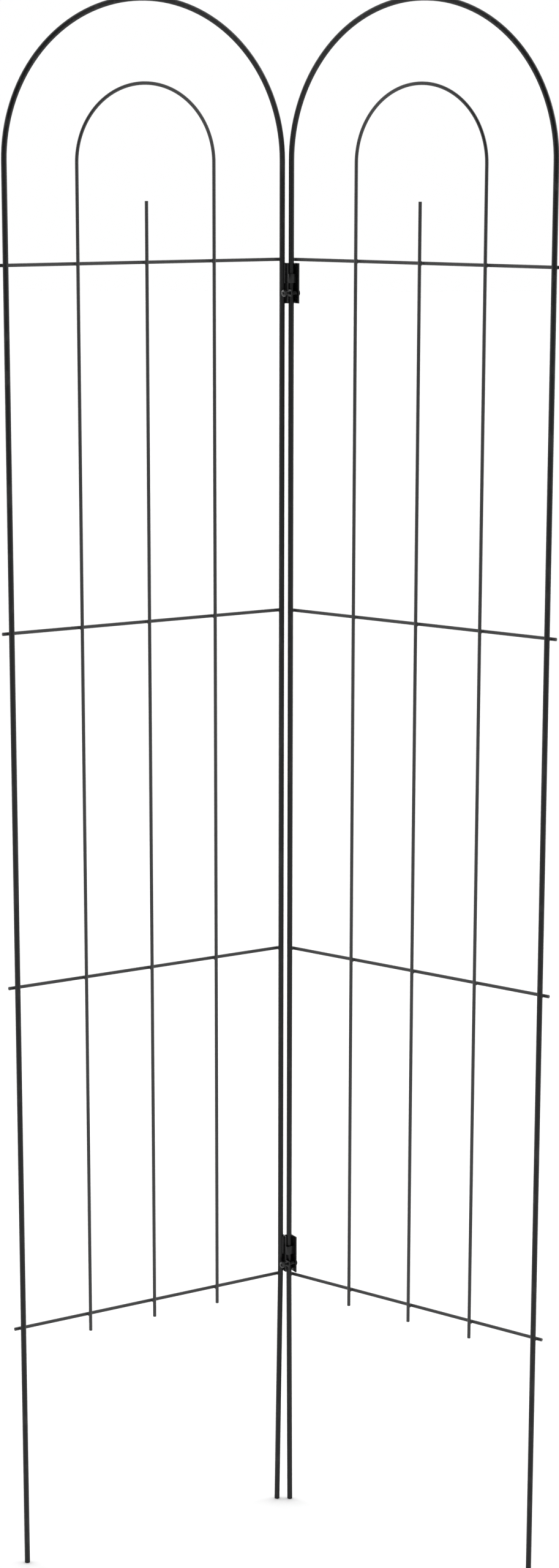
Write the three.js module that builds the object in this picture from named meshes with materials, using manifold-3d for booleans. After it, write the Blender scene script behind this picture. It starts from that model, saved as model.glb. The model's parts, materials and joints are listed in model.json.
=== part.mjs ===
// Folding trellis screen: two welded wire panels with arched tops, hinged along their inner uprights.
// Millimetres, +Z up. The screen stands in a V whose open side faces -Y.
//
// A panel is drawn flat in its own frame: +X runs outwards from the hinge, +Y towards the back
// (the outside of the V) and Z = 0 is the foot of the legs. The inner upright stands on the Z axis.
// The left panel is turned half a turn about Z, so in its own frame its back is towards -Y.
import * as THREE from 'three';
import * as BufferGeometryUtils from 'three/addons/utils/BufferGeometryUtils.js';
import Module from 'manifold-3d';

const wasm = await Module();
wasm.setup();

// ---- Driving dimensions -------------------------------------------------------------------------

const OVERALL_HEIGHT = 1829;      // foot to the crown of the outer arch
const PANEL_WIDTH = 353;          // between the centrelines of a panel's uprights
const OPENING_ANGLE = 113.3;      // degrees between the two panels as the screen stands

const FRAME_ROD = 6.4;            // diameter of the outer frame's rod
const WIRE = 4;                   // diameter of the inner arch, centre rod and crossbars
const WELD_GAP = 0.3;             // clearance left between pieces that are welded together

const CROSSBARS = 4;
const LOWEST_BAR = 297;           // height of the lowest crossbar
const TOP_BAR_DROP = 112.3;       // from the spring of the outer arch down to the highest crossbar
const BAY_TAPER = 4;              // each bay is this much shorter than the bay below it
const CROSSBAR_OVERHANG = 9;      // past the centreline of the outer upright
const CROSSBAR_INNER_LAP = 2;     // past the centreline of the inner upright

const INNER_ARCH_RADIUS = 87;     // to the wire's centreline
const INNER_SPRING_DROP = 2.3;    // the inner arch springs this far below the outer one
const CENTRE_ROD_RISE = 68;       // from the highest crossbar up to the rod's top
const WIRE_FOOT_DROP = 20;        // how far the wires run below the lowest crossbar

const LEG_SPLAY = { left: 4.5, right: 2 };   // outward spread of each inner leg at its foot

const LOWER_HINGE_GAP = 3;        // from the lowest crossbar up to the lower bracket
const UPPER_HINGE_GAP = 2;        // from the upper bracket up to the highest crossbar
const BRACKET_HEIGHT = 46;
const BRACKET_SHEET = 1.5;
const BRACKET_BEND = 0.5;         // inside bend radius
const LEFT_FLANGE_DEPTH = 6.9;    // from the outside of the bight to the left flange's edge
const FRONT_MARGIN = 1.2;         // sheet in front of the bolt hole
const PIN_CLEARANCE = 1;          // round the captured upright, beside it and behind it
const FOLD_CLEARANCE = 0.4;       // between the two frames when the screen is folded flat

const TONGUE_HEIGHT = 10.5;       // strip of the left flange that is folded across the mouth
const TONGUE_DROP = 17.5;         // bracket's top edge down to the tongue's middle

const BOLT_DROP = 34;             // bracket's top edge down to the bolt
const BOLT_DIAMETER = 4;
const BOLT_TAIL = 1.5;            // thread showing past the nut
const BOLT_HEAD_HEIGHT = 1.2;     // a low round head
const BOLT_HEAD_DIAMETER = 7.5;
const EAR_MARGIN = 1.7;           // sheet above and below the bolt hole in the left flange's ear
const NUT_ACROSS_FLATS = 7;
const NUT_HEIGHT = 3.2;
const NUT_STANDOFF = 5.5;         // the nut stops short of the ear, so the U isn't squeezed
const FASTENER_GAP = 0.3;         // clearance between bolt, nut, tongue, bracket and pin

// How finely round stretches are divided
const FRAME_SIDES = 12;
const WIRE_SIDES = 10;
const OUTER_ARCH_STEPS = 28;
const INNER_ARCH_STEPS = 20;
const FASTENER_SIDES = 20;
const BEND_STEPS = 4;

// ---- Dimensions that follow ---------------------------------------------------------------------

const FRAME_RADIUS = FRAME_ROD / 2;
const WIRE_RADIUS = WIRE / 2;
const OUTER_ARCH_RADIUS = PANEL_WIDTH / 2;
const OUTER_ARCH_SPRING = OVERALL_HEIGHT - FRAME_RADIUS - OUTER_ARCH_RADIUS;
const TOP_BAR = OUTER_ARCH_SPRING - TOP_BAR_DROP;
const INNER_ARCH_SPRING = OUTER_ARCH_SPRING - INNER_SPRING_DROP;
const CENTRE_ROD_TOP = TOP_BAR + CENTRE_ROD_RISE;
const WIRE_FOOT = LOWEST_BAR - WIRE_FOOT_DROP;
const WIRE_SETBACK = FRAME_RADIUS - WIRE_RADIUS;              // wires lie flush with the frame's back
const CROSSBAR_SETBACK = FRAME_RADIUS + WELD_GAP + WIRE_RADIUS;

// Bays between crossbars get shorter upwards by the same step each time.
const BAYS = CROSSBARS - 1;
const LOWEST_BAY = (TOP_BAR - LOWEST_BAR) / BAYS + (BAY_TAPER * (BAYS - 1)) / 2;
const barHeight = (number) => LOWEST_BAR + number * LOWEST_BAY - (BAY_TAPER * number * (number - 1)) / 2;

// Centre of each hinge bracket
const HINGE_HEIGHTS = {
  lower: LOWEST_BAR + WIRE_RADIUS + LOWER_HINGE_GAP + BRACKET_HEIGHT / 2,
  upper: TOP_BAR - WIRE_RADIUS - UPPER_HINGE_GAP - BRACKET_HEIGHT / 2,
};

// The hinge, seen from above with the left inner upright at (0, 0), +X across the hinge and -Y
// towards the open side of the V. The U's back left corner is welded to the left inner upright,
// and the right inner upright turns inside the U.
const OUTSIDE_BEND = BRACKET_BEND + BRACKET_SHEET;
const PIN_Y = -(FRAME_ROD + FOLD_CLEARANCE);
const BIGHT_INSIDE = PIN_Y + FRAME_RADIUS + PIN_CLEARANCE;
const BRACKET_BACK = BIGHT_INSIDE + BRACKET_SHEET;
const LEFT_FLANGE_FRONT = BRACKET_BACK - LEFT_FLANGE_DEPTH;
const CORNER_X = Math.sqrt((FRAME_RADIUS + WELD_GAP + OUTSIDE_BEND) ** 2 - (BRACKET_BACK - OUTSIDE_BEND) ** 2);
const FLANGE_LEFT = CORNER_X - OUTSIDE_BEND;
const PIN_X = FLANGE_LEFT + BRACKET_SHEET + PIN_CLEARANCE + FRAME_RADIUS;
const FLANGE_RIGHT = PIN_X + FRAME_RADIUS + PIN_CLEARANCE;
const BRACKET_RIGHT = FLANGE_RIGHT + BRACKET_SHEET;

// The tongue and the bolt both pass in front of the captured upright. Levels are measured from the
// bracket's middle, and places along the bolt run from left to right.
const MOUTH_BACK = PIN_Y - FRAME_RADIUS - FASTENER_GAP;
const TONGUE_FRONT = MOUTH_BACK - BRACKET_SHEET;
const TONGUE_TOP = BRACKET_HEIGHT / 2 - TONGUE_DROP + TONGUE_HEIGHT / 2;
const TONGUE_BOTTOM = TONGUE_TOP - TONGUE_HEIGHT;
const BOLT_Y = MOUTH_BACK - BOLT_DIAMETER / 2;
const BOLT_HOLE_RADIUS = BOLT_DIAMETER / 2 + FASTENER_GAP;
const BRACKET_FRONT = BOLT_Y - BOLT_HOLE_RADIUS - FRONT_MARGIN;
const BOLT_LEVEL = BRACKET_HEIGHT / 2 - BOLT_DROP;
const EAR_REACH = BOLT_HOLE_RADIUS + EAR_MARGIN;
const NUT_RIGHT = FLANGE_LEFT - NUT_STANDOFF;
const NUT_LEFT = NUT_RIGHT - NUT_HEIGHT;
const HEAD_LEFT = BRACKET_RIGHT + FASTENER_GAP;

const HALF_FOLD = THREE.MathUtils.degToRad((180 - OPENING_ANGLE) / 2);

// ---- Finishes -----------------------------------------------------------------------------------

const powderCoat = new THREE.MeshStandardMaterial({ color: 0x1b1c1e, roughness: 0.5, metalness: 0.2 });
const hingeCoat = new THREE.MeshStandardMaterial({ color: 0x161718, roughness: 0.45, metalness: 0.3 });
const fastenerCoat = new THREE.MeshStandardMaterial({ color: 0x202122, roughness: 0.4, metalness: 0.5 });

// ---- Geometry helpers ---------------------------------------------------------------------------

/** A wire's line: up one leg, round a half circle and down the other leg, in the XZ plane. */
class HoopLine extends THREE.Curve {
  constructor({ centre, radius, foot, spring, kneeHeight, steps }) {
    super();
    this.points = [new THREE.Vector3(centre - radius, 0, foot)];
    if (kneeHeight !== undefined) {
      this.points.push(new THREE.Vector3(centre - radius, 0, kneeHeight));
    }
    for (let i = 0; i <= steps; i += 1) {
      const turn = Math.PI * (1 - i / steps);
      this.points.push(new THREE.Vector3(centre + radius * Math.cos(turn), 0, spring + radius * Math.sin(turn)));
    }
    this.points.push(new THREE.Vector3(centre + radius, 0, foot));
  }

  get spans() {
    return this.points.length - 1;
  }

  getPoint(t, target = new THREE.Vector3()) {
    const place = THREE.MathUtils.clamp(t, 0, 1) * this.spans;
    const start = Math.min(Math.floor(place), this.spans - 1);
    return target.lerpVectors(this.points[start], this.points[start + 1], place - start);
  }

  // Stations follow t itself, so each straight leg is a single step.
  getUtoTmapping(u) {
    return u;
  }
}

/** A regular polygon with its corners on the circle of the given radius. */
function roundSection(radius, sides) {
  const corners = [];
  for (let i = 0; i < sides; i += 1) {
    const angle = (2 * Math.PI * i) / sides;
    corners.push(new THREE.Vector2(radius * Math.cos(angle), radius * Math.sin(angle)));
  }
  return new THREE.Shape(corners);
}

/** Rod swept along a line, with flat ends. */
function sweptRod(line, radius, sides) {
  return new THREE.ExtrudeGeometry(roundSection(radius, sides), {
    steps: line.spans, extrudePath: line, curveSegments: 1, bevelEnabled: false,
  });
}

/** Spreads the leg that stands at X = 0 by `splay` at its foot, from nothing at the knee. */
function splayInnerLeg(geometry, splay, kneeHeight) {
  const position = geometry.getAttribute('position');
  for (let i = 0; i < position.count; i += 1) {
    const isInnerLeg = Math.abs(position.getX(i)) < OUTER_ARCH_RADIUS;
    const drop = Math.max(0, 1 - position.getZ(i) / kneeHeight);
    if (isInnerLeg) {
      position.setX(i, position.getX(i) + splay * drop);
    }
  }
  return geometry;
}

/** Straight rod along X from `start` to `end`. */
function rodAlongX(radius, start, end, sides) {
  const rod = new THREE.CylinderGeometry(radius, radius, end - start, sides);
  return rod.rotateZ(-Math.PI / 2).translate((start + end) / 2, 0, 0);
}

/** Straight rod along Z from `bottom` to `top`. */
function rodAlongZ(radius, bottom, top, sides) {
  const rod = new THREE.CylinderGeometry(radius, radius, top - bottom, sides);
  return rod.rotateX(Math.PI / 2).translate(0, 0, (bottom + top) / 2);
}

/** Merges shared vertices and hands the mesh to manifold. */
function toSolid(geometry) {
  const bare = geometry.clone();
  bare.deleteAttribute('normal');
  bare.deleteAttribute('uv');
  const merged = BufferGeometryUtils.mergeVertices(bare, 1e-4);
  return new wasm.Manifold(new wasm.Mesh({
    numProp: 3,
    vertProperties: new Float32Array(merged.getAttribute('position').array),
    triVerts: new Uint32Array(merged.getIndex().array),
  }));
}

/** Turns a manifold solid back into a three.js geometry. */
function toGeometry(solid) {
  const mesh = solid.getMesh();
  const geometry = new THREE.BufferGeometry();
  geometry.setAttribute('position', new THREE.BufferAttribute(new Float32Array(mesh.vertProperties), 3));
  geometry.setIndex(new THREE.BufferAttribute(new Uint32Array(mesh.triVerts), 1));
  return geometry;
}

/** One geometry with other geometries cut away. */
function cut(geometry, ...tools) {
  return toGeometry(tools.reduce((solid, tool) => solid.subtract(toSolid(tool)), toSolid(geometry)));
}

/** One geometry with others joined on. */
function join(geometry, ...additions) {
  return toGeometry(additions.reduce((solid, addition) => solid.add(toSolid(addition)), toSolid(geometry)));
}

function part(name, geometry, material) {
  const mesh = new THREE.Mesh(geometry, material);
  mesh.name = name;
  return mesh;
}

// ---- Panel --------------------------------------------------------------------------------------

function outerFrame(splay) {
  const line = new HoopLine({
    centre: PANEL_WIDTH / 2, radius: OUTER_ARCH_RADIUS, foot: 0, spring: OUTER_ARCH_SPRING,
    kneeHeight: LOWEST_BAR, steps: OUTER_ARCH_STEPS,
  });
  return splayInnerLeg(sweptRod(line, FRAME_RADIUS, FRAME_SIDES), splay, LOWEST_BAR);
}

function innerArch() {
  const line = new HoopLine({
    centre: PANEL_WIDTH / 2, radius: INNER_ARCH_RADIUS, foot: WIRE_FOOT, spring: INNER_ARCH_SPRING,
    steps: INNER_ARCH_STEPS,
  });
  return sweptRod(line, WIRE_RADIUS, WIRE_SIDES);
}

function centreRod() {
  return rodAlongZ(WIRE_RADIUS, WIRE_FOOT, CENTRE_ROD_TOP, WIRE_SIDES).translate(PANEL_WIDTH / 2, 0, 0);
}

function crossbar() {
  return rodAlongX(WIRE_RADIUS, -CROSSBAR_INNER_LAP, PANEL_WIDTH + CROSSBAR_OVERHANG, WIRE_SIDES);
}

/** All the pieces of one panel. `back` is the sign of Y towards the panel's back in its own frame. */
function panel(side, back) {
  const group = new THREE.Group();
  const add = (name, geometry, setback, height = 0) => {
    const piece = part(`${side}_${name}`, geometry, powderCoat);
    piece.position.set(0, back * setback, height);
    group.add(piece);
  };
  add('outer_frame', outerFrame(LEG_SPLAY[side]), 0);
  add('inner_arch', innerArch(), WIRE_SETBACK);
  add('centre_rod', centreRod(), WIRE_SETBACK);
  for (let i = 0; i < CROSSBARS; i += 1) {
    add(`crossbar_${i + 1}`, crossbar(), CROSSBAR_SETBACK, barHeight(i));
  }
  return group;
}

// ---- Hinge --------------------------------------------------------------------------------------

/** The U of bent sheet seen from above, open towards the front. */
function bracketOutline() {
  const insideBendY = BIGHT_INSIDE - BRACKET_BEND;
  const outsideBendY = BRACKET_BACK - OUTSIDE_BEND;
  const quarter = Math.PI / 2;
  const outline = new THREE.Shape();
  outline.moveTo(FLANGE_LEFT, BRACKET_FRONT);
  outline.lineTo(FLANGE_LEFT + BRACKET_SHEET, BRACKET_FRONT);
  outline.absarc(FLANGE_LEFT + OUTSIDE_BEND, insideBendY, BRACKET_BEND, 2 * quarter, quarter, true);
  outline.absarc(FLANGE_RIGHT - BRACKET_BEND, insideBendY, BRACKET_BEND, quarter, 0, true);
  outline.lineTo(FLANGE_RIGHT, BRACKET_FRONT);
  outline.lineTo(BRACKET_RIGHT, BRACKET_FRONT);
  outline.absarc(BRACKET_RIGHT - OUTSIDE_BEND, outsideBendY, OUTSIDE_BEND, 0, quarter, false);
  outline.absarc(FLANGE_LEFT + OUTSIDE_BEND, outsideBendY, OUTSIDE_BEND, quarter, 2 * quarter, false);
  outline.closePath();
  return outline;
}

/** Box that trims the left flange's front back to `front`, between two levels. */
function flangeTrimmer(bottom, top, front) {
  const outermost = BRACKET_FRONT - BRACKET_SHEET;
  return new THREE.BoxGeometry(2 * BRACKET_SHEET, front - outermost, top - bottom)
    .translate(FLANGE_LEFT + BRACKET_SHEET / 2, (front + outermost) / 2, (bottom + top) / 2);
}

/** The strip that crosses the mouth, from the left flange to just short of the right one. */
function tongue() {
  const start = FLANGE_LEFT + BRACKET_SHEET / 2;
  const end = FLANGE_RIGHT - FASTENER_GAP;
  return new THREE.BoxGeometry(end - start, BRACKET_SHEET, TONGUE_HEIGHT)
    .translate((start + end) / 2, MOUTH_BACK - BRACKET_SHEET / 2, (TONGUE_BOTTOM + TONGUE_TOP) / 2);
}

/**
 * The U of bent sheet. Its right flange is deep from end to end. Its left flange is shallow, apart
 * from the strip that becomes the tongue and the ear that the bolt passes through.
 */
function hingeBracket() {
  const half = BRACKET_HEIGHT / 2;
  const sheet = new THREE.ExtrudeGeometry(bracketOutline(), {
    depth: BRACKET_HEIGHT, steps: 1, curveSegments: BEND_STEPS, bevelEnabled: false,
  }).translate(0, 0, -half);
  const trimmed = cut(
    sheet,
    flangeTrimmer(TONGUE_TOP, half + BRACKET_SHEET, LEFT_FLANGE_FRONT),
    flangeTrimmer(TONGUE_BOTTOM, TONGUE_TOP, TONGUE_FRONT),
    flangeTrimmer(BOLT_LEVEL + EAR_REACH, TONGUE_BOTTOM, LEFT_FLANGE_FRONT),
    flangeTrimmer(-half - BRACKET_SHEET, BOLT_LEVEL - EAR_REACH, LEFT_FLANGE_FRONT),
    boltBore(FLANGE_LEFT, BRACKET_RIGHT).translate(0, BOLT_Y, BOLT_LEVEL),
  );
  return join(trimmed, tongue());
}

/** Clearance hole for the bolt, run a little past both ends. */
function boltBore(start, end) {
  return rodAlongX(BOLT_HOLE_RADIUS, start - 1, end + 1, FASTENER_SIDES);
}

function hingeBolt() {
  const shank = rodAlongX(
    BOLT_DIAMETER / 2, NUT_LEFT - BOLT_TAIL, HEAD_LEFT + BOLT_HEAD_HEIGHT / 2, FASTENER_SIDES,
  );
  const head = rodAlongX(BOLT_HEAD_DIAMETER / 2, HEAD_LEFT, HEAD_LEFT + BOLT_HEAD_HEIGHT, FASTENER_SIDES);
  return join(head, shank);
}

function hingeNut() {
  const hexagon = rodAlongX(NUT_ACROSS_FLATS / Math.sqrt(3), NUT_LEFT, NUT_RIGHT, 6);
  return cut(hexagon, boltBore(NUT_LEFT, NUT_RIGHT));
}

/** A bracket with its bolt and nut, centred at the given height. */
function hinge(label, height) {
  const bracket = part(`${label}_hinge_bracket`, hingeBracket(), hingeCoat);
  const bolt = part(`${label}_hinge_bolt`, hingeBolt(), fastenerCoat);
  const nut = part(`${label}_hinge_nut`, hingeNut(), fastenerCoat);
  for (const fastener of [bolt, nut]) {
    fastener.position.set(0, BOLT_Y, BOLT_LEVEL);
  }
  const group = new THREE.Group();
  group.add(bracket, bolt, nut);
  group.position.z = height;
  return group;
}

// ---- Assembly -----------------------------------------------------------------------------------

const leftPanel = panel('left', -1);
leftPanel.rotation.z = Math.PI + HALF_FOLD;

const hinges = new THREE.Group();
for (const [label, height] of Object.entries(HINGE_HEIGHTS)) {
  hinges.add(hinge(label, height));
}
hinges.rotation.z = HALF_FOLD;

const rightPanel = panel('right', 1);
rightPanel.rotation.z = -HALF_FOLD;
rightPanel.position.set(PIN_X, PIN_Y, 0).applyAxisAngle(new THREE.Vector3(0, 0, 1), HALF_FOLD);

const screen = new THREE.Group();
screen.add(leftPanel, hinges, rightPanel);

// The origin is on the ground under the middle of the whole screen.
const extent = new THREE.Box3().setFromObject(screen, true);
const middle = extent.getCenter(new THREE.Vector3());
screen.position.set(-middle.x, -middle.y, -extent.min.z);

export default screen;
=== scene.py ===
"""Finished look of a folding wire trellis screen: two arch-topped panels joined by two hinges.

The screen stands in a V whose open side faces -Y. Every length is in metres. A panel is drawn in its
own frame: +X runs outwards from the hinge and Z = 0 is the foot of the legs.
"""

from __future__ import annotations

import json
import logging
import math
import random
from dataclasses import dataclass, field
from enum import Enum

import bmesh
import bpy
from mathutils import Matrix, Vector


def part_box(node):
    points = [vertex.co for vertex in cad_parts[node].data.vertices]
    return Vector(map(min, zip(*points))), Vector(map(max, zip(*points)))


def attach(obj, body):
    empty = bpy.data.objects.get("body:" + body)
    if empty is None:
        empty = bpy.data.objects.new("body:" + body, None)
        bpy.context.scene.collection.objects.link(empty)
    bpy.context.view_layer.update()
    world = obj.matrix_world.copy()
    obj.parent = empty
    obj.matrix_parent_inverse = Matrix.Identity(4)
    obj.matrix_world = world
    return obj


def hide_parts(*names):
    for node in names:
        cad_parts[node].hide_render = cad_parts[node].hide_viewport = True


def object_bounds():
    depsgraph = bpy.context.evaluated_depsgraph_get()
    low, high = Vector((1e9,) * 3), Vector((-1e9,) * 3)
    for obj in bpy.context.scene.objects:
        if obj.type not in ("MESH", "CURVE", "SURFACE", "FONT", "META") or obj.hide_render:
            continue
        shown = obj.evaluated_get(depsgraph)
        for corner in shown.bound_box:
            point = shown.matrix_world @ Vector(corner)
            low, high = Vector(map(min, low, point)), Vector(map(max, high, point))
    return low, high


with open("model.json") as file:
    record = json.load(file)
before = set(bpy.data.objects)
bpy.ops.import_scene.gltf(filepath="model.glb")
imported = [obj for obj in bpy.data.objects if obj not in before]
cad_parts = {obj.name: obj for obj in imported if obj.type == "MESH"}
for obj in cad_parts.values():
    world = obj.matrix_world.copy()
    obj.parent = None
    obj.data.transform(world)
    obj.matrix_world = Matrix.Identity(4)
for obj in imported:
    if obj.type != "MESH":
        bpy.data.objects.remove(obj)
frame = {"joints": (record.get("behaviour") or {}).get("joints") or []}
cad_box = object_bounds()

log = logging.getLogger("trellis")

MM = 0.001
# Lengths too small to see: a hair tells two rings apart, and points within a touch are in one place.
HAIR = 1e-9
TOUCH = 1e-6
UP = Vector((0, 0, 1))


# ---- Shader maths -------------------------------------------------------------------------------


class Value:
    """A shader socket that can be used in Python arithmetic."""

    def __init__(self, tree: bpy.types.NodeTree, socket: bpy.types.NodeSocket) -> None:
        """Wraps one output socket of a node tree."""
        self.tree = tree
        self.socket = socket

    def _math(self, operation: str, first: Value | float, second: Value | float) -> Value:
        """Adds a Math node.

        Args:
            operation: the Math node's operation.
            first: its first operand.
            second: its second operand.

        Returns:
            The node's result.
        """
        node = self.tree.nodes.new("ShaderNodeMath")
        node.operation = operation
        for slot, operand in zip(node.inputs, (first, second)):
            if isinstance(operand, Value):
                self.tree.links.new(operand.socket, slot)
            else:
                slot.default_value = operand
        return Value(self.tree, node.outputs[0])

    def __add__(self, other: Value | float) -> Value:
        """Sum of two values."""
        return self._math("ADD", self, other)

    def __radd__(self, other: float) -> Value:
        """Sum with a number on the left."""
        return self._math("ADD", other, self)

    def __sub__(self, other: Value | float) -> Value:
        """Difference of two values."""
        return self._math("SUBTRACT", self, other)

    def __rsub__(self, other: float) -> Value:
        """Difference with a number on the left."""
        return self._math("SUBTRACT", other, self)

    def __mul__(self, other: Value | float) -> Value:
        """Product of two values."""
        return self._math("MULTIPLY", self, other)

    def __rmul__(self, other: float) -> Value:
        """Product with a number on the left."""
        return self._math("MULTIPLY", other, self)

    def above(self, edge: float, softness: float) -> Value:
        """A mask that rises from 0 to 1 over `softness` around `edge`."""
        ramp = (self - (edge - softness / 2)) * (1 / softness)
        lifted = self._math("MAXIMUM", ramp, 0.0)
        return self._math("MINIMUM", lifted, 1.0)


class NodeBench:
    """Adds nodes to one node tree."""

    def __init__(self, tree: bpy.types.NodeTree) -> None:
        """Starts with an empty tree."""
        self.tree = tree
        self.tree.nodes.clear()

    def node(self, kind: str, settings: dict | None = None, sockets: dict | None = None) -> bpy.types.Node:
        """Adds a node.

        Args:
            kind: the node's type name.
            settings: attributes that are set before its sockets.
            sockets: a value, a Value or an output socket for each named or numbered input.

        Returns:
            The node.
        """
        node = self.tree.nodes.new(kind)
        for key, value in (settings or {}).items():
            setattr(node, key, value)
        for key, value in (sockets or {}).items():
            if isinstance(value, Value):
                value = value.socket
            if isinstance(value, bpy.types.NodeSocket):
                self.tree.links.new(value, node.inputs[key])
            else:
                node.inputs[key].default_value = value
        return node

    def noise(self, scale: float, detail: float, stretch: tuple[float, float, float] = (1, 1, 1)) -> Value:
        """Noise on Object coordinates.

        Args:
            scale: blotches per metre.
            detail: octaves of finer noise.
            stretch: factors for the three axes.

        Returns:
            The noise, about 0.5 on average.
        """
        place = self.node("ShaderNodeTexCoord").outputs["Object"]
        turned = self.node("ShaderNodeMapping", sockets={"Vector": place, "Scale": stretch})
        texture = self.node(
            "ShaderNodeTexNoise",
            sockets={
                "Vector": turned.outputs["Vector"],
                "Scale": scale,
                "Detail": detail,
                "Roughness": 0.55,
            },
        )
        return Value(self.tree, texture.outputs["Fac"])

    def blend(
        self,
        factor: Value,
        low: tuple[float, float, float] | bpy.types.NodeSocket,
        high: tuple[float, float, float] | bpy.types.NodeSocket,
    ) -> bpy.types.NodeSocket:
        """A colour between two others.

        Args:
            factor: 0 gives `low` and 1 gives `high`.
            low: linear RGB, or a colour socket.
            high: linear RGB, or a colour socket.

        Returns:
            The mixed colour's socket.
        """
        mix = self.node("ShaderNodeMix", {"data_type": "RGBA"})
        factor_slot, low_slot, high_slot = (mix.inputs[index] for index in (0, 6, 7))
        self.tree.links.new(factor.socket, factor_slot)
        for slot, colour in ((low_slot, low), (high_slot, high)):
            if isinstance(colour, bpy.types.NodeSocket):
                self.tree.links.new(colour, slot)
            else:
                slot.default_value = (*colour, 1)
        return mix.outputs[2]


class Surface(Enum):
    """The finishes of the screen, each with its slot in the record."""

    FRAME = ("frame_coat", "powder_coat")
    # The wires' finish is the frame's powder coat with a painted sheen: its colours are drawn paler than the
    # frame's.
    WIRE = ("wire_coat_painted_sheen", "powder_coat")
    BRACKET = ("bracket_coat", "hinge_coat")
    FASTENER = ("fastener_coat", "fastener")

    def __init__(self, label: str, slot: str) -> None:
        """Keeps the finish's own name and its slot."""
        self.label = label
        self.slot = slot


@dataclass(frozen=True)
class PowderCoat:
    """Black powder coat: satin, with soft clouds, fine grit, an orange peel and faint scuffs.

    Every scale is in blotches per metre, and a mask's edge is the noise level where it is half on.
    """

    surface: Surface
    deep: tuple[float, float, float]
    pale: tuple[float, float, float]
    roughness: float
    roughness_spread: float
    metallic: float
    gloss_coat: float
    gloss_roughness: float = 0.25
    shine: float = 0.5
    peel_scale: float = 650.0
    peel_height: float = 0.2 * MM
    peel_strength: float = 0.6
    grit_scale: float = 2200.0
    grit_edge: float = 0.66
    grit_softness: float = 0.1
    grit_in_tone: float = 0.3
    grit_in_bump: float = 0.25
    cloud_scale: float = 14.0
    cloud_edge: float = 0.5
    cloud_softness: float = 0.4
    cloud_stretch: tuple[float, float, float] = (1, 1, 0.5)
    scuff_scale: float = 120.0
    scuff_edge: float = 0.61
    scuff_softness: float = 0.08
    scuff_stretch: tuple[float, float, float] = (1, 1, 0.25)
    scuff_tone: tuple[float, float, float] = (0.045, 0.045, 0.046)
    scuff_cover: float = 0.4
    scuff_roughness: float = 0.12

    def make(self) -> bpy.types.Material:
        """Builds the material.

        Returns:
            The finished material.
        """
        material = bpy.data.materials.new(self.surface.label)
        material.use_nodes = True
        bench = NodeBench(material.node_tree)
        clouds = bench.noise(self.cloud_scale, 3.0, self.cloud_stretch)
        clouds = clouds.above(self.cloud_edge, self.cloud_softness)
        scuffs = bench.noise(self.scuff_scale, 4.0, self.scuff_stretch)
        scuffs = scuffs.above(self.scuff_edge, self.scuff_softness)
        grit = bench.noise(self.grit_scale, 1.0)
        peel = bench.noise(self.peel_scale, 2.0)
        specks = grit.above(self.grit_edge, self.grit_softness)
        tone = clouds * (1 - self.grit_in_tone) + specks * self.grit_in_tone
        coat = bench.blend(tone, self.deep, self.pale)
        bump = bench.node(
            "ShaderNodeBump",
            sockets={
                "Strength": self.peel_strength,
                "Distance": self.peel_height,
                "Height": peel * (1 - self.grit_in_bump) + grit * self.grit_in_bump,
            },
        )
        unevenness = (clouds - 0.5) * self.roughness_spread + scuffs * self.scuff_roughness
        shader = bench.node(
            "ShaderNodeBsdfPrincipled",
            sockets={
                "Base Color": bench.blend(scuffs * self.scuff_cover, coat, self.scuff_tone),
                "Roughness": self.roughness + unevenness,
                "Metallic": self.metallic,
                "Specular IOR Level": self.shine,
                "Coat Weight": self.gloss_coat,
                "Coat Roughness": self.gloss_roughness,
                "Normal": bump.outputs["Normal"],
            },
        )
        bench.node("ShaderNodeOutputMaterial", sockets={"Surface": shader.outputs["BSDF"]})
        return material


FINISHES = (
    PowderCoat(
        Surface.FRAME,
        deep=(0.004, 0.0041, 0.0044),
        pale=(0.012, 0.0121, 0.0125),
        roughness=0.36,
        roughness_spread=0.14,
        metallic=0.0,
        gloss_coat=0.05,
        shine=0.28,
    ),
    # Same powder coat as the frame, but its deep and pale tones are about five times paler: a painted sheen
    # that stands in for the brighter light the thin wires catch.
    PowderCoat(
        Surface.WIRE,
        deep=(0.02, 0.0201, 0.0205),
        pale=(0.046, 0.0461, 0.0466),
        roughness=0.42,
        roughness_spread=0.14,
        metallic=0.0,
        gloss_coat=0.1,
        shine=0.5,
    ),
    PowderCoat(
        Surface.BRACKET,
        deep=(0.004, 0.0041, 0.0044),
        pale=(0.012, 0.0121, 0.0125),
        roughness=0.34,
        roughness_spread=0.16,
        metallic=0.0,
        gloss_coat=0.1,
        shine=0.32,
    ),
    PowderCoat(
        Surface.FASTENER,
        deep=(0.008, 0.008, 0.0083),
        pale=(0.02, 0.02, 0.0203),
        roughness=0.3,
        roughness_spread=0.14,
        metallic=0.3,
        gloss_coat=0.1,
    ),
)


# ---- Mesh making --------------------------------------------------------------------------------


def corners_of(edges: list) -> list:
    """The vertices of some edges, each once."""
    return list(dict.fromkeys(corner for edge in edges for corner in edge.verts))


def edges_of(corners: list) -> list:
    """The edges at some vertices, each once."""
    return list(dict.fromkeys(edge for corner in corners for edge in corner.link_edges))


def edges_in(geometry: list) -> list:
    """The edges among some geometry."""
    return [item for item in geometry if isinstance(item, bmesh.types.BMEdge)]


def draw_out(mesh: bmesh.types.BMesh, edges: list) -> tuple[list, list]:
    """Extrudes edges in place.

    Args:
        mesh: the mesh that they are in.
        edges: the edges to extrude.

    Returns:
        The new vertices and the new edges.
    """
    grown = bmesh.ops.extrude_edge_only(mesh, edges=edges)["geom"]
    corners = [item for item in grown if isinstance(item, bmesh.types.BMVert)]
    return corners, edges_in(grown)


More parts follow.
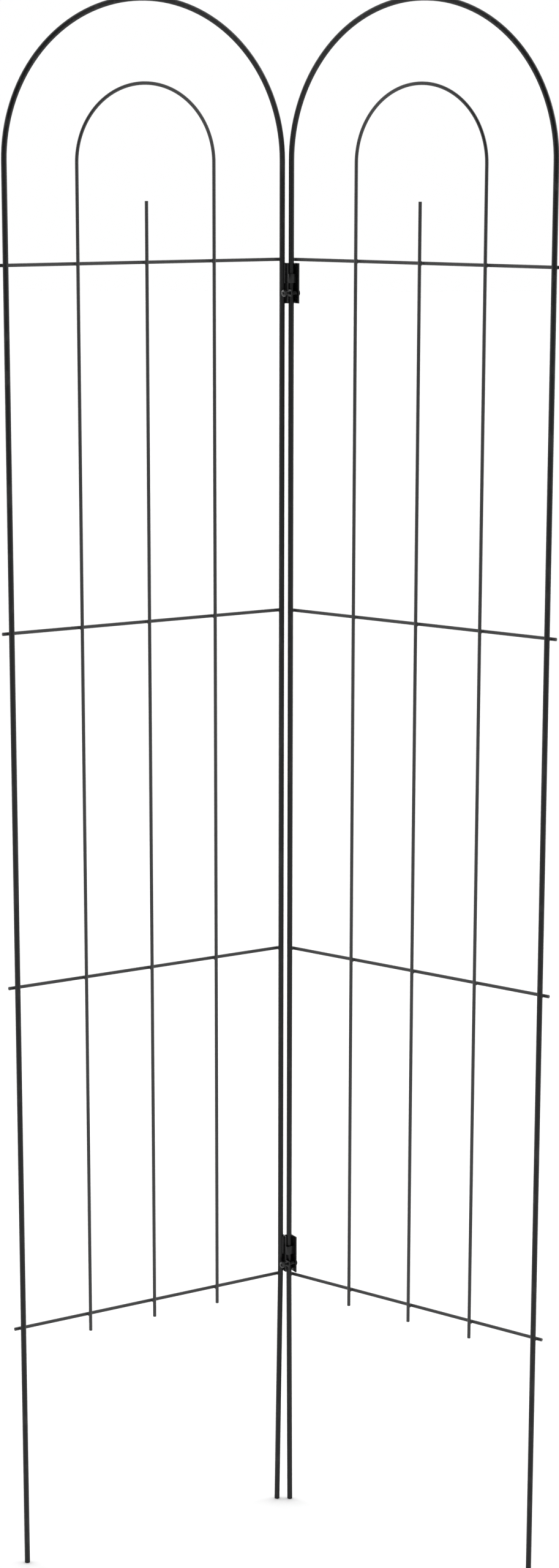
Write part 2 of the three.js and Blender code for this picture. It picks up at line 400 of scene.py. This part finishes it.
def swing(
    mesh: bmesh.types.BMesh, edges: list, centre: Vector, axis: Vector, angle: float, steps: int
) -> list:
    """Draws edges round an axis.

    Args:
        mesh: the mesh that they are in.
        edges: the edges to draw.
        centre: a point on the axis.
        axis: direction of the axis.
        angle: angle in radians.
        steps: stations on the way.

    Returns:
        The last station's edges.
    """
    last = bmesh.ops.spin(
        mesh,
        geom=corners_of(edges) + edges,
        cent=centre,
        axis=axis,
        dvec=(0, 0, 0),
        angle=angle,
        steps=steps,
        use_merge=False,
        use_normal_flip=False,
        use_duplicate=False,
    )["geom_last"]
    return edges_in(last)


class RodBender:
    """Draws out a round rod through straights and bends, with chamfered ends."""

    CHAMFER = 0.25 * MM

    def __init__(self, radius: float, sides: int, start: Vector, heading: Vector) -> None:
        """Starts the rod with a closed, chamfered end.

        Args:
            radius: the rod's radius.
            sides: sides of its section.
            start: centre of the end face.
            heading: direction in which the rod sets out.
        """
        self.mesh = bmesh.new()
        self.radius = radius
        turn = UP.rotation_difference(heading).to_matrix().to_4x4()
        bmesh.ops.create_circle(
            self.mesh,
            cap_ends=False,
            radius=radius - self.CHAMFER,
            segments=sides,
            matrix=Matrix.Translation(start) @ turn,
        )
        self.ring = list(self.mesh.edges)
        bmesh.ops.edgeloop_fill(self.mesh, edges=self.ring)
        self._grow(heading.normalized() * self.CHAMFER, radius / (radius - self.CHAMFER))

    def _grow(self, offset: Vector, scale: float = 1.0) -> None:
        """Draws the open end out by an offset, and scales it about its centre."""
        corners, self.ring = draw_out(self.mesh, self.ring)
        bmesh.ops.translate(self.mesh, verts=corners, vec=offset)
        centre = sum((corner.co for corner in corners), Vector()) / len(corners)
        bmesh.ops.scale(
            self.mesh, verts=corners, vec=(scale, scale, scale), space=Matrix.Translation(-centre)
        )

    def straight(self, offset: Vector, pieces: int = 1) -> RodBender:
        """Runs straight on by an offset, in a number of equal pieces."""
        for _ in range(pieces):
            self._grow(offset / pieces)
        return self

    def bend(self, centre: Vector, axis: Vector, angle: float, steps: int) -> RodBender:
        """Bends round a centre.

        Args:
            centre: centre of the bend.
            axis: axis of the bend.
            angle: angle in radians.
            steps: stations round the bend.

        Returns:
            The bender itself.
        """
        self.ring = swing(self.mesh, self.ring, centre, axis, angle, steps)
        return self

    def end(self, heading: Vector) -> bmesh.types.BMesh:
        """Closes the open end with a chamfer, and returns the mesh."""
        self._grow(heading.normalized() * self.CHAMFER, (self.radius - self.CHAMFER) / self.radius)
        bmesh.ops.edgeloop_fill(self.mesh, edges=self.ring)
        return self.mesh


class Workshop:
    """Turns meshes into finished pieces that ride on their bodies."""

    SHARP = math.radians(32)

    def __init__(self) -> None:
        """Mixes the finishes once for all pieces."""
        self.finishes = {finish.surface: finish.make() for finish in FINISHES}

    def piece(
        self,
        name: str,
        mesh: bmesh.types.BMesh,
        place: Matrix,
        body: str,
        surface: Surface,
        stands_for: tuple[str, ...] = (),
    ) -> None:
        """Finishes one piece.

        Args:
            name: the piece's name.
            mesh: its mesh in its own frame; it is used up.
            place: its place in the screen's frame.
            body: the body that it rides on.
            surface: its finish.
            stands_for: the frame's nodes that it replaces.
        """
        bmesh.ops.transform(mesh, matrix=place, verts=mesh.verts)
        bmesh.ops.recalc_face_normals(mesh, faces=mesh.faces)
        for face in mesh.faces:
            face.smooth = True
        for edge in mesh.edges:
            edge.smooth = len(edge.link_faces) == 2 and edge.calc_face_angle() < self.SHARP
        data = bpy.data.meshes.new(name)
        mesh.to_mesh(data)
        mesh.free()
        data.materials.append(self.finishes[surface])
        obj = bpy.data.objects.new(name, data)
        bpy.context.scene.collection.objects.link(obj)
        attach(obj, body)
        if stands_for:
            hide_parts(*stands_for)
        log.info("%s: %d faces on %s", name, len(data.polygons), body)


# ---- Panels -------------------------------------------------------------------------------------


class Side(Enum):
    """The two panels. The value is the sign of Y, in a panel's own frame, that leads to its back."""

    LEFT = -1
    RIGHT = 1


@dataclass
class Panel:
    """One welded wire panel."""

    side: Side
    half_fold: float
    width: float = 353 * MM
    rod_radius: float = 3.2 * MM
    wire_radius: float = 2 * MM
    weld_gap: float = 0.3 * MM
    inner_arch_radius: float = 87 * MM
    bars: int = 4
    bar_overhang: float = 9 * MM
    bar_lap: float = 2 * MM
    leg_splay: float = 0.0
    rod_sides: int = 28
    wire_sides: int = 20
    arch_steps: int = 72
    leg_pieces: int = 10
    wire_pieces: int = 4
    weld_size: tuple[float, float, float] = (2.9 * MM, 1.7 * MM, 2.7 * MM)
    weld_spread: tuple[float, float] = (0.92, 1.1)
    weld_lumps: float = 0.07
    weld_softening: float = 0.5
    back: int = field(init=False)
    place: Matrix = field(init=False)

    def __post_init__(self) -> None:
        """Finds the panel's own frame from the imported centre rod."""
        low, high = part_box(self.node("centre_rod"))
        middle = (low + high) / 2
        turn = -self.half_fold if self.side is Side.RIGHT else math.pi + self.half_fold
        self.back = self.side.value
        rotation = Matrix.Rotation(turn, 4, "Z")
        local = Vector((self.width / 2, self.back * self.wire_setback, 0))
        origin = Vector((middle.x, middle.y, 0)) - rotation @ local
        self.place = Matrix.Translation(origin) @ rotation

    @property
    def wire_setback(self) -> float:
        """How far the wires' centrelines lie behind the frame's."""
        return self.rod_radius - self.wire_radius

    @property
    def bar_setback(self) -> float:
        """How far the crossbars' centrelines lie behind the frame's."""
        return self.rod_radius + self.weld_gap + self.wire_radius

    @property
    def body(self) -> str:
        """The body that the panel is."""
        return f"{self.side.name.lower()}_panel"

    def node(self, part: str) -> str:
        """The frame's name of one of the panel's parts."""
        return f"{self.side.name.lower()}_{part}"

    def bar_height(self, number: int) -> float:
        """Height of a crossbar's centreline, counted from the lowest."""
        low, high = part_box(self.node(f"crossbar_{number}"))
        return (low.z + high.z) / 2

    def hoop(
        self, radius: float, sides: int, reach: float, foot: float, crown: float, knee: float
    ) -> RodBender:
        """A rod that goes up, round a half circle and down again.

        Args:
            radius: the rod's radius.
            sides: sides of its section.
            reach: radius of the half circle, on the centreline.
            foot: height of both ends.
            crown: height of the half circle's top, on the outside.
            knee: height below which the legs are divided finely.

        Returns:
            The bender, with the last end still open.
        """
        spring = crown - radius - reach
        chamfer = RodBender.CHAMFER
        bender = RodBender(radius, sides, Vector((self.width / 2 - reach, 0, foot)), UP)
        bender.straight(UP * (knee - foot - chamfer), self.leg_pieces).straight(UP * (spring - knee))
        bender.bend(Vector((self.width / 2, 0, spring)), Vector((0, 1, 0)), math.pi, self.arch_steps)
        bender.straight(-UP * (spring - knee)).straight(-UP * (knee - foot - chamfer), self.leg_pieces)
        return bender

    def splay(self, mesh: bmesh.types.BMesh, knee: float) -> None:
        """Spreads the inner leg outwards below the knee, as the real legs stand."""
        for corner in mesh.verts:
            if corner.co.x < self.width / 2 and corner.co.z < knee:
                corner.co.x += self.leg_splay * (1 - corner.co.z / knee)

    def outer_frame(self, workshop: Workshop) -> None:
        """The frame rod: two legs and the outer arch."""
        low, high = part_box(self.node("outer_frame"))
        knee = self.bar_height(1)
        bender = self.hoop(self.rod_radius, self.rod_sides, self.width / 2, low.z, high.z, knee)
        mesh = bender.end(-UP)
        self.splay(mesh, knee)
        name = self.node("outer_frame")
        workshop.piece(f"{name}_rod", mesh, self.place, self.body, Surface.FRAME, (name,))

    def inner_arch(self, workshop: Workshop) -> None:
        """The bent wire inside the frame."""
        low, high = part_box(self.node("inner_arch"))
        knee = self.bar_height(1)
        reach = self.inner_arch_radius
        mesh = self.hoop(self.wire_radius, self.wire_sides, reach, low.z, high.z, knee).end(-UP)
        bmesh.ops.translate(mesh, verts=mesh.verts, vec=(0, self.back * self.wire_setback, 0))
        name = self.node("inner_arch")
        workshop.piece(f"{name}_wire", mesh, self.place, self.body, Surface.WIRE, (name,))

    def centre_rod(self, workshop: Workshop) -> None:
        """The straight wire in the middle."""
        low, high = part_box(self.node("centre_rod"))
        start = Vector((self.width / 2, self.back * self.wire_setback, low.z))
        bender = RodBender(self.wire_radius, self.wire_sides, start, UP)
        length = high.z - low.z - 2 * RodBender.CHAMFER
        mesh = bender.straight(UP * length, self.wire_pieces).end(UP)
        name = self.node("centre_rod")
        workshop.piece(f"{name}_wire", mesh, self.place, self.body, Surface.WIRE, (name,))

    def crossbar(self, workshop: Workshop, number: int) -> None:
        """One crossbar, welded behind the frame and the wires."""
        along = Vector((1, 0, 0))
        start = Vector((-self.bar_lap, self.back * self.bar_setback, self.bar_height(number)))
        bender = RodBender(self.wire_radius, self.wire_sides, start, along)
        length = self.bar_lap + self.width + self.bar_overhang - 2 * RodBender.CHAMFER
        mesh = bender.straight(along * length, self.wire_pieces).end(along)
        name = self.node(f"crossbar_{number}")
        workshop.piece(f"{name}_wire", mesh, self.place, self.body, Surface.WIRE, (name,))

    def welds(self, workshop: Workshop, number: int, shaker: random.Random) -> None:
        """The weld nuggets where one crossbar meets the frame and the wires."""
        half = self.width / 2
        crossings = (0, half - self.inner_arch_radius, half, half + self.inner_arch_radius, self.width)
        depth = self.back * (self.rod_radius + self.weld_gap / 2)
        mesh = bmesh.new()
        for crossing in crossings:
            size = [extent * shaker.uniform(*self.weld_spread) for extent in self.weld_size]
            spot = Matrix.Translation((crossing, depth, self.bar_height(number)))
            nugget = bmesh.ops.create_icosphere(
                mesh, subdivisions=3, radius=1, matrix=spot @ Matrix.Diagonal((*size, 1))
            )["verts"]
            centre = spot.translation
            for corner in nugget:
                lump = 1 + shaker.uniform(-self.weld_lumps, self.weld_lumps)
                corner.co = centre + (corner.co - centre) * lump
            bmesh.ops.smooth_vert(
                mesh,
                verts=nugget,
                factor=self.weld_softening,
                use_axis_x=True,
                use_axis_y=True,
                use_axis_z=True,
            )
        name = self.node(f"crossbar_{number}_welds")
        # The weld nuggets get the wires' paler coat, so they carry its painted sheen too.
        workshop.piece(name, mesh, self.place, self.body, Surface.WIRE)

    def build(self, workshop: Workshop, shaker: random.Random) -> None:
        """Builds the whole panel."""
        self.outer_frame(workshop)
        self.inner_arch(workshop)
        self.centre_rod(workshop)
        for number in range(1, self.bars + 1):
            self.crossbar(workshop, number)
            self.welds(workshop, number, shaker)


# ---- Hinges -------------------------------------------------------------------------------------


@dataclass
class Hinge:
    """A U of bent sheet on the left panel that the right panel's inner upright turns in.

    It is drawn with the left inner upright at the origin, +X across the hinge and the mouth to -Y.
    """

    label: str
    place: Matrix
    rod_radius: float = 3.2 * MM
    weld_gap: float = 0.3 * MM
    sheet: float = 1.5 * MM
    inside_bend: float = 0.5 * MM
    pin_clearance: float = 1 * MM
    fold_clearance: float = 0.4 * MM
    left_flange_depth: float = 6.9 * MM
    front_margin: float = 1.2 * MM
    tongue_height: float = 10.5 * MM
    tongue_drop: float = 17.5 * MM
    bolt_drop: float = 34 * MM
    bolt_radius: float = 2 * MM
    bolt_tail: float = 1.5 * MM
    head_height: float = 1.2 * MM
    head_rim: float = 0.36 * MM
    head_radius: float = 3.75 * MM
    head_steps: int = 6
    ear_margin: float = 1.7 * MM
    across_flats: float = 7 * MM
    nut_height: float = 3.2 * MM
    nut_standoff: float = 5.5 * MM
    nut_face_radius: float = 3.36 * MM
    nut_slack: float = 0.03 * MM
    nut_chamfer: float = 30
    gap: float = 0.3 * MM
    hole_collar: float = 0.5 * MM
    thread_pitch: float = 0.7 * MM
    thread_depth: float = 0.38 * MM
    thread_foot: float = 0.322 * MM
    thread_crest: float = 0.049 * MM
    thread_sink: float = 0.1 * MM
    thread_steps: int = 20
    rim_angle: float = 60
    rim_round: float = 0.2 * MM
    bead_radius: float = 1.3 * MM
    bead_pitch: float = 0.75 * MM
    bead_reach: float = 4.1 * MM
    bead_spread: float = 35
    bead_sizes: tuple[float, float] = (0.9, 1.06)
    bend_steps: int = 8
    hole_sides: int = 32
    hex_sides: int = 48
    body: str = "left_panel"

    def __post_init__(self) -> None:
        """Works out the section of the U, the levels on it and the places along the bolt."""
        self.bend = self.inside_bend + self.sheet
        pin_y = -(2 * self.rod_radius + self.fold_clearance)
        self.back = pin_y + self.rod_radius + self.pin_clearance + self.sheet
        reach = self.rod_radius + self.weld_gap + self.bend
        self.left = math.sqrt(reach**2 - (self.back - self.bend) ** 2) - self.bend
        self.right_inside = self.left + self.sheet + 2 * (self.rod_radius + self.pin_clearance)
        self.right = self.right_inside + self.sheet
        mouth_back = pin_y - self.rod_radius - self.gap
        self.tongue_front = mouth_back - self.sheet
        self.hole_radius = self.bolt_radius + self.gap
        self.bolt_y = mouth_back - self.bolt_radius
        self.front = self.bolt_y - self.hole_radius - self.front_margin
        low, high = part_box(f"{self.label}_hinge_bracket")
        self.bottom, self.top = low.z, high.z
        self.bolt_z = self.top - self.bolt_drop
        self.nut_right = self.left - self.nut_standoff
        self.nut_left = self.nut_right - self.nut_height
        self.head_left = self.right + self.gap

    def bracket(self, workshop: Workshop) -> None:
        """The bent sheet, with its tongue, ear, bolt holes and rounded rims."""
        mesh = self.bent_sheet()
        half = self.hole_radius + self.hole_collar
        for x in (self.left, self.right):
            self.cut_square(mesh, Vector((x, self.bolt_y, self.bolt_z)), half)
            self.round_hole(mesh, Vector((x, self.bolt_y, self.bolt_z)), half)
        bmesh.ops.recalc_face_normals(mesh, faces=mesh.faces)
        bight = max(mesh.faces, key=lambda face: face.calc_center_median().y)
        if bight.normal.y < 0:
            bmesh.ops.reverse_faces(mesh, faces=mesh.faces)
        bmesh.ops.solidify(mesh, geom=list(mesh.faces), thickness=self.sheet)
        bmesh.ops.recalc_face_normals(mesh, faces=mesh.faces)
        rims = [edge for edge in mesh.edges if edge.calc_face_angle(0) > math.radians(self.rim_angle)]
        bmesh.ops.bevel(
            mesh,
            geom=rims,
            offset=self.rim_round,
            offset_type="OFFSET",
            segments=2,
            profile=0.5,
            affect="EDGES",
            material=-1,
            clamp_overlap=False,
        )
        name = f"{self.label}_hinge_bracket"
        workshop.piece(f"{name}_sheet", mesh, self.place, self.body, Surface.BRACKET, (name,))

    def bent_sheet(self) -> bmesh.types.BMesh:
        """The sheet's outer face, drawn round the U from the left flange's edge to the right one's."""
        tongue_top = self.top - self.tongue_drop + self.tongue_height / 2
        ear = self.hole_radius + self.ear_margin
        levels = (
            self.bottom,
            self.bolt_z - ear,
            self.bolt_z + ear,
            tongue_top - self.tongue_height,
            tongue_top,
            self.top,
        )
        mesh = bmesh.new()
        corners = [mesh.verts.new((self.left, self.back - self.left_flange_depth, z)) for z in levels]
        lip = [mesh.edges.new(pair) for pair in zip(corners, corners[1:])]
        _, ear_edge, _, tongue_edge, _ = lip
        quarter = math.pi / 2
        bend = self.bend
        edges = self.pull(mesh, lip, Vector((0, self.left_flange_depth - bend, 0)))
        edges = self.roll(mesh, edges, Vector((self.left + bend, self.back - bend, 0)), -quarter)
        edges = self.pull(mesh, edges, Vector((self.right - self.left - 2 * bend, 0, 0)))
        edges = self.roll(mesh, edges, Vector((self.right - bend, self.back - bend, 0)), -quarter)
        self.pull(mesh, edges, Vector((0, self.front - self.back + bend, 0)))
        lip_y = self.back - self.left_flange_depth
        self.pull(mesh, [ear_edge], Vector((0, self.front - lip_y, 0)))
        edges = self.pull(mesh, [tongue_edge], Vector((0, self.tongue_front + bend - lip_y, 0)))
        edges = self.roll(mesh, edges, Vector((self.left + bend, self.tongue_front + bend, 0)), quarter)
        self.pull(mesh, edges, Vector((self.right_inside - self.gap - self.left - bend, 0, 0)))
        return mesh

    @staticmethod
    def pull(mesh: bmesh.types.BMesh, edges: list, offset: Vector) -> list:
        """Draws edges out flat, and returns the new ones."""
        corners, edges = draw_out(mesh, edges)
        bmesh.ops.translate(mesh, verts=corners, vec=offset)
        return edges

    def roll(self, mesh: bmesh.types.BMesh, edges: list, centre: Vector, angle: float) -> list:
        """Draws edges round a vertical axis, and returns the new ones."""
        return swing(mesh, edges, centre, UP, angle, self.bend_steps)

    def cut_square(self, mesh: bmesh.types.BMesh, middle: Vector, half: float) -> None:
        """Cuts a square round `middle` out of the flange that lies at its X."""
        across = Vector((0, half, 0))
        along = Vector((0, 0, half))
        for offset in (across, -across, along, -along):
            flange = [face for face in mesh.faces if self.lies_at(face.verts, middle.x)]
            pieces = (item for face in flange for item in (face, *face.edges, *face.verts))
            bmesh.ops.bisect_plane(
                mesh,
                geom=list(dict.fromkeys(pieces)),
                plane_co=middle + offset,
                plane_no=offset.normalized(),
                dist=TOUCH / 10,
            )
        inside = [
            face
            for face in mesh.faces
            if self.lies_at(face.verts, middle.x) and self.in_square(face.calc_center_median(), middle, half)
        ]
        bmesh.ops.delete(mesh, geom=inside, context="FACES")

    @staticmethod
    def lies_at(corners: list, x: float) -> bool:
        """True if all the corners have the given X."""
        return all(abs(corner.co.x - x) < TOUCH for corner in corners)

    @staticmethod
    def in_square(point: Vector, middle: Vector, half: float) -> bool:
        """True for a point in or on the square round `middle`, seen along X."""
        reach = half + TOUCH
        return abs(point.y - middle.y) < reach and abs(point.z - middle.z) < reach

    def round_hole(self, mesh: bmesh.types.BMesh, middle: Vector, half: float) -> None:
        """Fills the square hole round the bolt down to a round one."""

        def rim() -> list:
            """The square's edges."""
            return [
                edge
                for edge in mesh.edges
                if edge.is_boundary
                and self.lies_at(edge.verts, middle.x)
                and all(self.in_square(corner.co, middle, half) for corner in edge.verts)
            ]

        bmesh.ops.subdivide_edges(mesh, edges=rim(), cuts=self.hole_sides // 4 - 1)
        square = rim()
        circle = bmesh.ops.create_circle(
            mesh,
            cap_ends=False,
            radius=self.hole_radius,
            segments=self.hole_sides,
            matrix=Matrix.Translation(middle) @ Matrix.Rotation(math.pi / 2, 4, "Y"),
        )["verts"]
        bmesh.ops.bridge_loops(mesh, edges=square + edges_of(circle))

    @staticmethod
    def ring(mesh: bmesh.types.BMesh, x: float, radius: float, sides: int) -> list:
        """Starts a tube along X with an open circle, and returns its edges."""
        circle = bmesh.ops.create_circle(
            mesh,
            cap_ends=False,
            radius=radius,
            segments=sides,
            matrix=Matrix.Translation((x, 0, 0)) @ Matrix.Rotation(math.pi / 2, 4, "Y"),
        )["verts"]
        return edges_of(circle)

    def grow(
        self, mesh: bmesh.types.BMesh, edges: list, x: float, radius: float, hexagon: float = 0
    ) -> list:
        """Draws a ring out to a place along X.

        Args:
            mesh: the mesh to add to.
            edges: the ring's edges.
            x: the new ring's place.
            radius: the new ring's radius.
            hexagon: if not 0, the new ring is a hexagon whose flats are this far from its centre,
                and it sinks towards the old ring where it is wider than `radius`, as a chamfer does.

        Returns:
            The new ring's edges.
        """
        away = 1 if edges[0].verts[0].co.x < x else -1
        slope = math.tan(math.radians(self.nut_chamfer))
        corners, edges = draw_out(mesh, edges)
        for corner in corners:
            angle = math.atan2(corner.co.z, corner.co.y)
            folded = (angle + math.pi / 6) % (math.pi / 3) - math.pi / 6
            reach = hexagon / math.cos(folded) if hexagon else radius
            sink = (reach - radius) * slope * away if hexagon else 0
            corner.co = Vector((x + sink, reach * math.cos(angle), reach * math.sin(angle)))
        return edges

    def bolt(self, workshop: Workshop) -> None:
        """The bolt: a low round head outside the right flange, and a threaded shank to the left."""
        mesh = bmesh.new()
        core = self.bolt_radius - self.thread_depth
        tip = self.nut_left - self.bolt_tail
        edges = self.ring(mesh, tip, core - self.thread_depth, self.hole_sides)
        bmesh.ops.edgeloop_fill(mesh, edges=edges)
        edges = self.grow(mesh, edges, tip + self.thread_depth, core)
        shoulder = self.right_inside
        edges = self.grow(mesh, edges, shoulder, core)
        edges = self.grow(mesh, edges, shoulder + self.thread_depth, self.bolt_radius)
        edges = self.grow(mesh, edges, self.head_left, self.bolt_radius)
        edges = self.grow(mesh, edges, self.head_left, self.head_radius)
        dome = self.head_height - self.head_rim
        for step in range(self.head_steps):
            angle = math.pi / 2 * step / self.head_steps
            x = self.head_left + self.head_rim + dome * math.sin(angle)
            edges = self.grow(mesh, edges, x, self.head_radius * math.cos(angle))
        bmesh.ops.edgeloop_fill(mesh, edges=edges)
        self.thread(mesh, tip + self.thread_depth, shoulder, core)
        bmesh.ops.translate(mesh, verts=mesh.verts, vec=(0, self.bolt_y, self.bolt_z))
        name = f"{self.label}_hinge_bolt"
        workshop.piece(f"{name}_steel", mesh, self.place, self.body, Surface.FASTENER, (name,))

    def thread(self, mesh: bmesh.types.BMesh, start: float, end: float, core: float) -> None:
        """Winds a thread's ridge round the shank, with its foot sunk in the core."""
        turns = math.floor((end - start) / self.thread_pitch) - 1
        foot, crest = self.thread_foot, self.thread_crest
        root = core - self.thread_sink
        outline = ((-foot, root), (-crest, self.bolt_radius), (crest, self.bolt_radius), (foot, root))
        corners = [mesh.verts.new((start + foot + dx, radius, 0)) for dx, radius in outline]
        face = mesh.faces.new(corners)
        bmesh.ops.spin(
            mesh,
            geom=[face, *face.verts, *face.edges],
            cent=(0, 0, 0),
            axis=(1, 0, 0),
            dvec=(self.thread_pitch / self.thread_steps, 0, 0),
            angle=2 * math.pi * turns,
            steps=self.thread_steps * turns,
            use_merge=False,
            use_normal_flip=False,
            use_duplicate=False,
        )
        open_edges = [edge for edge in mesh.edges if edge.is_boundary]
        bmesh.ops.holes_fill(mesh, edges=open_edges, sides=0)

    def nut(self, workshop: Workshop) -> None:
        """The nut: a chamfered hexagon with its bore."""
        mesh = bmesh.new()
        flat = self.across_flats / 2
        face_radius = self.nut_face_radius
        bore = self.bolt_radius + self.nut_slack
        first = self.ring(mesh, self.nut_left, bore, self.hex_sides)
        edges = self.grow(mesh, first, self.nut_left - HAIR, face_radius)
        edges = self.grow(mesh, edges, self.nut_left, face_radius, flat)
        for corner in corners_of(edges):
            corner.co.x = self.nut_left + abs(corner.co.x - self.nut_left)
        edges = self.grow(mesh, edges, self.nut_right + HAIR, face_radius, flat)
        for corner in corners_of(edges):
            corner.co.x = self.nut_right - abs(corner.co.x - self.nut_right)
        edges = self.grow(mesh, edges, self.nut_right, face_radius)
        last = self.grow(mesh, edges, self.nut_right, bore)
        bmesh.ops.bridge_loops(mesh, edges=first + last)
        bmesh.ops.translate(mesh, verts=mesh.verts, vec=(0, self.bolt_y, self.bolt_z))
        name = f"{self.label}_hinge_nut"
        workshop.piece(f"{name}_steel", mesh, self.place, self.body, Surface.FASTENER, (name,))

    def welds(self, workshop: Workshop, shaker: random.Random) -> None:
        """The rippled weld seams that hold the bracket to the left upright, behind and in front."""
        mesh = bmesh.new()
        touch = math.atan2(self.back - self.bend, self.left + self.bend)
        spread = math.radians(self.bead_spread)
        middle = (self.top + self.bottom) / 2
        for angle, bottom in ((touch + spread, self.bottom), (touch - spread, middle)):
            spot = Vector((math.cos(angle), math.sin(angle), 0)) * self.bead_reach
            ripples = int((self.top - bottom) / self.bead_pitch) - 1
            for ripple in range(ripples):
                spot.z = bottom + (ripple + 1) * self.bead_pitch
                size = [shaker.uniform(*self.bead_sizes) * self.bead_radius for _ in range(3)]
                place = Matrix.Translation(spot) @ Matrix.Diagonal((*size, 1))
                bmesh.ops.create_icosphere(mesh, subdivisions=2, radius=1, matrix=place)
        workshop.piece(f"{self.label}_hinge_welds", mesh, self.place, self.body, Surface.BRACKET)

    def build(self, workshop: Workshop, shaker: random.Random) -> None:
        """Builds the hinge."""
        self.bracket(workshop)
        self.bolt(workshop)
        self.nut(workshop)
        self.welds(workshop, shaker)


# ---- Studio -------------------------------------------------------------------------------------


@dataclass(frozen=True)
class Lamp:
    """A soft square lamp: its size is a side in metres and its power is in watts."""

    name: str
    place: tuple[float, float, float]
    size: float
    power: float


@dataclass
class Studio:
    """Pale floor, soft white surround, two lamps and the camera. Angles are in degrees."""

    middle: Vector
    floor_size: float = 60.0
    floor_tone: float = 0.95
    sky_strength: float = 1.55
    shade_strength: float = 0.1
    shade_side: tuple[float, float, float] = (0, -0.97, 0.24)
    shade_start: float = 0.45
    shade_width: float = 0.7
    lamps: tuple[Lamp, ...] = (
        Lamp("right_lamp", (3.0, 1.2, 2.6), 1.4, 15),
        Lamp("left_lamp", (-2.8, 1.8, 2.2), 1.4, 10),
    )
    camera_place: tuple[float, float, float] = (0.1595, -3.4827, 1.6806)
    camera_turn: float = 2.671
    camera_dip: float = 12.022
    camera_roll: float = 0.089
    camera_lens: float = 70.27
    camera_sensor: float = 36

    def floor(self) -> None:
        """A plain floor that reaches past the view."""
        mesh = bmesh.new()
        bmesh.ops.create_grid(mesh, x_segments=1, y_segments=1, size=self.floor_size / 2)
        data = bpy.data.meshes.new("studio_floor")
        mesh.to_mesh(data)
        mesh.free()
        material = bpy.data.materials.new("studio_floor")
        material.use_nodes = True
        bench = NodeBench(material.node_tree)
        tone = (self.floor_tone, self.floor_tone, self.floor_tone, 1)
        shader = bench.node("ShaderNodeBsdfPrincipled", sockets={"Base Color": tone, "Roughness": 0.9})
        bench.node("ShaderNodeOutputMaterial", sockets={"Surface": shader.outputs["BSDF"]})
        data.materials.append(material)
        floor = bpy.data.objects.new("studio_floor", data)
        bpy.context.scene.collection.objects.link(floor)

    def sky(self) -> None:
        """A white surround with a dark side, where the studio is open towards the front."""
        world = bpy.data.worlds.new("studio_sky")
        world.use_nodes = True
        bpy.context.scene.world = world
        bench = NodeBench(world.node_tree)
        outwards = bench.node("ShaderNodeTexCoord").outputs["Generated"]
        sides = {0: outwards, 1: self.shade_side}
        front = bench.node("ShaderNodeVectorMath", {"operation": "DOT_PRODUCT"}, sides)
        shade = Value(bench.tree, front.outputs["Value"]).above(self.shade_start, self.shade_width)
        glow = self.sky_strength - shade * (self.sky_strength - self.shade_strength)
        white = (1, 1, 1, 1)
        lit = bench.node("ShaderNodeBackground", sockets={"Color": white, "Strength": glow})
        seen = bench.node("ShaderNodeBackground", sockets={"Color": white, "Strength": 1.0})
        mixer = bench.node(
            "ShaderNodeMixShader",
            sockets={
                0: bench.node("ShaderNodeLightPath").outputs["Is Camera Ray"],
                1: lit.outputs["Background"],
                2: seen.outputs["Background"],
            },
        )
        bench.node("ShaderNodeOutputWorld", sockets={"Surface": mixer.outputs["Shader"]})

    def light(self, lamp: Lamp) -> None:
        """Hangs one lamp so that it looks at the middle of the screen."""
        data = bpy.data.lights.new(lamp.name, "AREA")
        data.size = lamp.size
        data.energy = lamp.power
        hung = bpy.data.objects.new(lamp.name, data)
        place = Vector(lamp.place)
        aim = (self.middle - place).to_track_quat("-Z", "Y").to_matrix().to_4x4()
        hung.matrix_world = Matrix.Translation(place) @ aim
        bpy.context.scene.collection.objects.link(hung)

    def camera(self) -> None:
        """The camera, near the top of the screen and a little to its right, looking down."""
        data = bpy.data.cameras.new("studio_camera")
        data.sensor_width = self.camera_sensor
        data.lens = self.camera_lens
        camera = bpy.data.objects.new("studio_camera", data)
        turn = Matrix.Rotation(math.radians(self.camera_turn), 4, "Z")
        dip = Matrix.Rotation(math.radians(90 - self.camera_dip), 4, "X")
        roll = Matrix.Rotation(math.radians(self.camera_roll), 4, "Z")
        camera.matrix_world = Matrix.Translation(self.camera_place) @ turn @ dip @ roll
        bpy.context.scene.collection.objects.link(camera)
        bpy.context.scene.camera = camera

    def build(self) -> None:
        """Sets up the studio."""
        bpy.context.scene.view_settings.view_transform = "Standard"
        self.floor()
        self.sky()
        for lamp in self.lamps:
            self.light(lamp)
        self.camera()


def main() -> None:
    """Builds the screen and its studio."""
    logging.basicConfig(level=logging.INFO, format="%(message)s")
    low, high = cad_box
    Studio((low + high) / 2).build()
    workshop = Workshop()
    shaker = random.Random(7)
    fold = next(joint for joint in frame["joints"] if joint["name"] == "panel_fold")
    half_fold = math.radians(-fold["range_deg"][0] / 2)
    left = Panel(Side.LEFT, half_fold, leg_splay=4.5 * MM)
    right = Panel(Side.RIGHT, half_fold, leg_splay=2 * MM)
    for panel in (left, right):
        panel.build(workshop, shaker)
    across = Matrix.Translation(left.place.translation) @ Matrix.Rotation(half_fold, 4, "Z")
    for label in ("lower", "upper"):
        Hinge(label, across).build(workshop, shaker)


if __name__ == "__main__":
    main()
